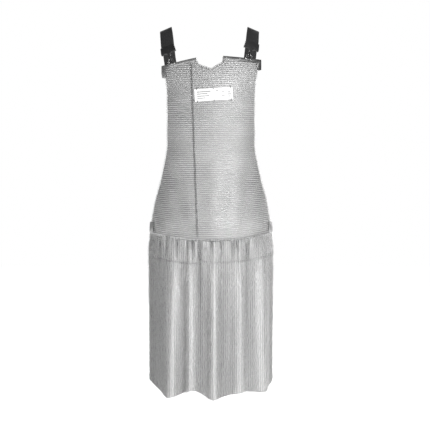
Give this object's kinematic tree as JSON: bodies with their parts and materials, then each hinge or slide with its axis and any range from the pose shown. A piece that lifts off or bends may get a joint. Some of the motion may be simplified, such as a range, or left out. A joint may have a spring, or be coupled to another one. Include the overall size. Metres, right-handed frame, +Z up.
{
  "type": "butcher mail apron",
  "caption": "Butcher's protective apron of steel ring mail: a bib with a blank plate, a gathered skirt, and black webbing over the shoulders and round the back.",
  "frame": {"origin": "midway between the shoulders and inside them, 21 mm below the top of the two shoulder straps", "axes": "+Z up, -Y the way the apron's front faces, +X to the right of someone facing it"},
  "size_m": [0.3478, 0.2399, 1.0129],
  "materials": {
    "mail": "bright stainless steel ring mail, lightly polished",
    "mail_seam": "stainless steel joining rings",
    "skirt_mail": "bright stainless steel ring mail, lightly polished",
    "steel_strip": "folded stainless steel strip, brushed",
    "steel_wire": "drawn stainless steel wire",
    "black_nylon": "black moulded nylon, satin",
    "webbing": "black woven polypropylene webbing",
    "patch": "black rubberised patch, stitched",
    "label": null
  },
  "bodies": {
    "bib": {"bib_mail_left": "mail", "bib_mail_right": "mail", "bib_seam": "mail_seam", "waist_seam": "mail_seam", "top_bar_left": "steel_strip", "top_bar_right": "steel_strip", "bar_rivets": "steel_wire", "shoulder_strap_left": "webbing", "shoulder_strap_right": "webbing", "yoke_patch": "patch", "waist_clip_left": "steel_strip", "waist_clip_right": "steel_strip", "waist_strap": "webbing", "label_plate": "label", "label_ties": "steel_wire"},
    "skirt": {"skirt_mail": "skirt_mail", "bib_flap_left": "mail", "bib_flap_right": "mail"},
    "hook_left": {"strap_hook_left": "black_nylon"},
    "hook_right": {"strap_hook_right": "black_nylon"},
    "loop_left": {"wire_loop_left": "steel_wire"},
    "loop_right": {"wire_loop_right": "steel_wire"},
    "waist_hook_left": {"waist_hook_left": "black_nylon"},
    "waist_hook_right": {"waist_hook_right": "black_nylon"},
    "waist_loop_left": {"waist_loop_left": "steel_wire"},
    "waist_loop_right": {"waist_loop_right": "steel_wire"},
    "slider_left": {"strap_slider_left": "black_nylon"},
    "slider_right": {"strap_slider_right": "black_nylon"},
    "waist_slider": {"waist_slider": "black_nylon"}
  },
  "joints": [
    {"name": "skirt_lift", "type": "hinge", "parent": "bib", "child": "skirt", "pos_m": [0, -0.1215, -0.561], "axis": [-1, 0, 0], "range_deg": [0, 40]},
    {"name": "left_hook_rock", "type": "hinge", "parent": "bib", "child": "hook_left", "pos_m": [-0.1173, -0.07562, -0.04068], "axis": [0.9096, -0.2704, 0.3154], "range_deg": [-6, 4]},
    {"name": "left_loop_turn", "type": "hinge", "parent": "bib", "child": "loop_left", "pos_m": [-0.10516, -0.08881, -0.087], "axis": [0.9096, -0.2704, 0.3154], "range_deg": [-18, 18]},
    {"name": "right_hook_rock", "type": "hinge", "parent": "bib", "child": "hook_right", "pos_m": [0.11115, -0.07625, -0.02996], "axis": [0.9295, 0.2462, -0.2745], "range_deg": [-6, 2]},
    {"name": "right_loop_turn", "type": "hinge", "parent": "bib", "child": "loop_right", "pos_m": [0.10147, -0.08824, -0.0735], "axis": [0.9295, 0.2462, -0.2745], "range_deg": [-18, 18]},
    {"name": "waist_left_hook_rock", "type": "hinge", "parent": "bib", "child": "waist_hook_left", "pos_m": [-0.16576, 0.02897, -0.52873], "axis": [0.0079, 0.079, 0.9968], "range_deg": [-6, 6]},
    {"name": "waist_left_loop_turn", "type": "hinge", "parent": "bib", "child": "waist_loop_left", "pos_m": [-0.16634, -0.01806, -0.525], "axis": [0.0079, 0.079, 0.9968], "range_deg": [-18, 18]},
    {"name": "waist_right_hook_rock", "type": "hinge", "parent": "bib", "child": "waist_hook_right", "pos_m": [0.16576, 0.02897, -0.52873], "axis": [0.0079, -0.079, -0.9968], "range_deg": [-6, 6]},
    {"name": "waist_right_loop_turn", "type": "hinge", "parent": "bib", "child": "waist_loop_right", "pos_m": [0.16634, -0.01806, -0.525], "axis": [0.0079, -0.079, -0.9968], "range_deg": [-18, 18]},
    {"name": "left_slider_travel", "type": "slide", "parent": "bib", "child": "slider_left", "axis": [0.7071, 0, -0.7071], "range_m": [-0.015, 0.02]},
    {"name": "right_slider_travel", "type": "slide", "parent": "bib", "child": "slider_right", "axis": [-0.7071, 0, -0.7071], "range_m": [-0.015, 0.02]},
    {"name": "waist_slider_travel", "type": "slide", "parent": "bib", "child": "waist_slider", "axis": [1, 0, 0], "range_m": [-0.02, 0.02]}
  ],
  "couplings": [
    {"joint": "left_loop_turn", "follows": "left_hook_rock", "ratio": -1.8286},
    {"joint": "right_loop_turn", "follows": "right_hook_rock", "ratio": -2.2857},
    {"joint": "waist_left_loop_turn", "follows": "waist_left_hook_rock", "ratio": -2.1333},
    {"joint": "waist_right_loop_turn", "follows": "waist_right_hook_rock", "ratio": -2.1333}
  ]
}
